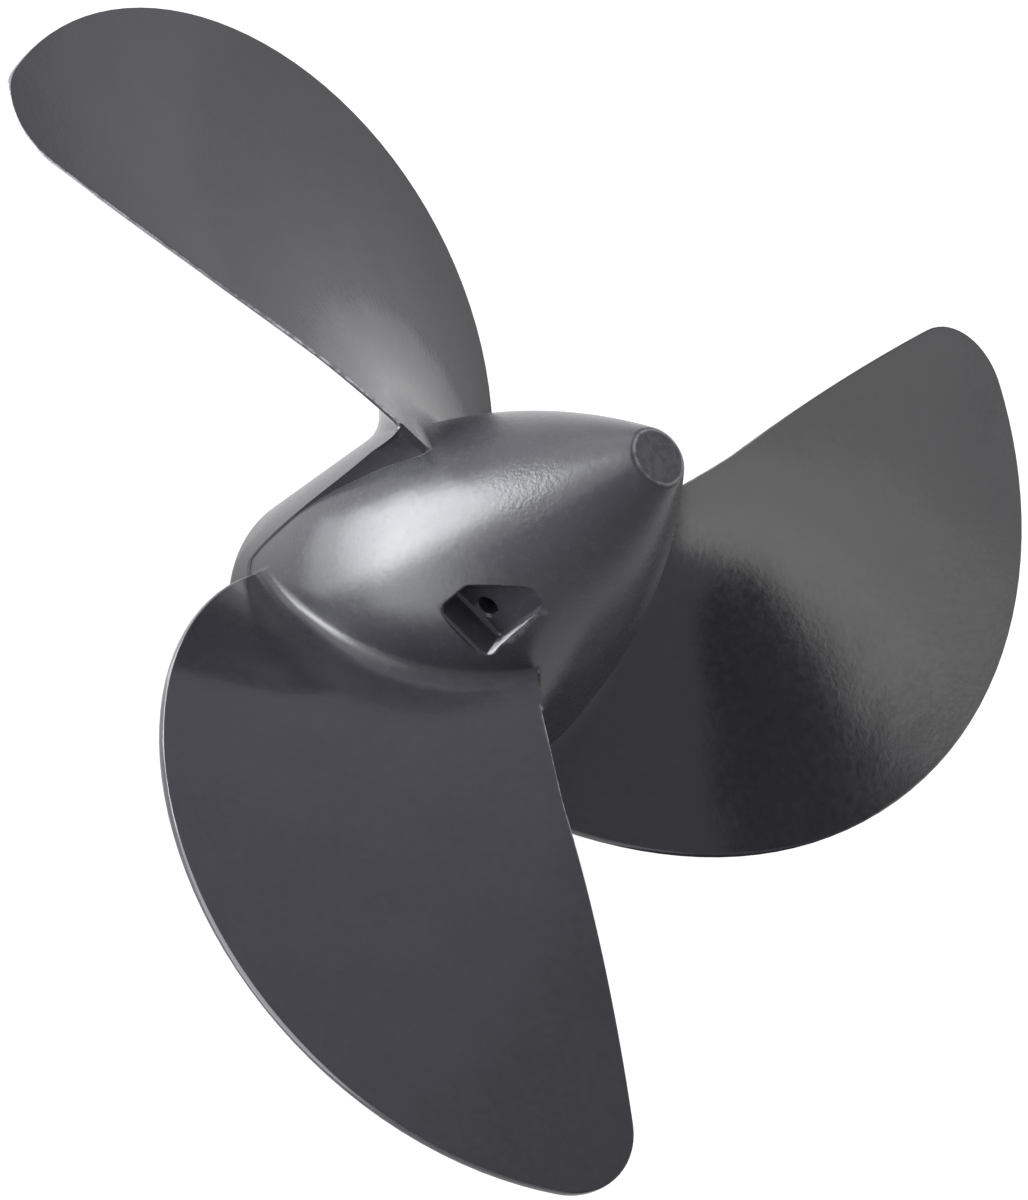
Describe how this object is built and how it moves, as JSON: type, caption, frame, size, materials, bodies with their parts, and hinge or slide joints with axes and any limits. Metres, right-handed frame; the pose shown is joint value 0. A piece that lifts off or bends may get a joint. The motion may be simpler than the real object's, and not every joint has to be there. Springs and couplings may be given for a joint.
{
  "type": "boat propeller",
  "caption": "Small right-handed boat propeller: broad blades cast in one piece with a tapered, closed hub, split-pin pockets, rubber bush and drive sleeve.",
  "frame": {"origin": "on the shaft axis, in the plane of the hub's front rim", "axes": "+Z aft along the shaft axis, towards the nose; +X along the generator line of the first blade"},
  "size_m": [0.1632, 0.1731, 0.067],
  "materials": {
    "grey_paint": "satin dark grey paint on die-cast aluminium",
    "black_rubber": "matt",
    "bare_brass": "turned, dull"
  },
  "bodies": {
    "root": {"propeller_casting": "grey_paint", "rubber_bush": "black_rubber", "drive_sleeve": "bare_brass"}
  },
  "joints": []
}
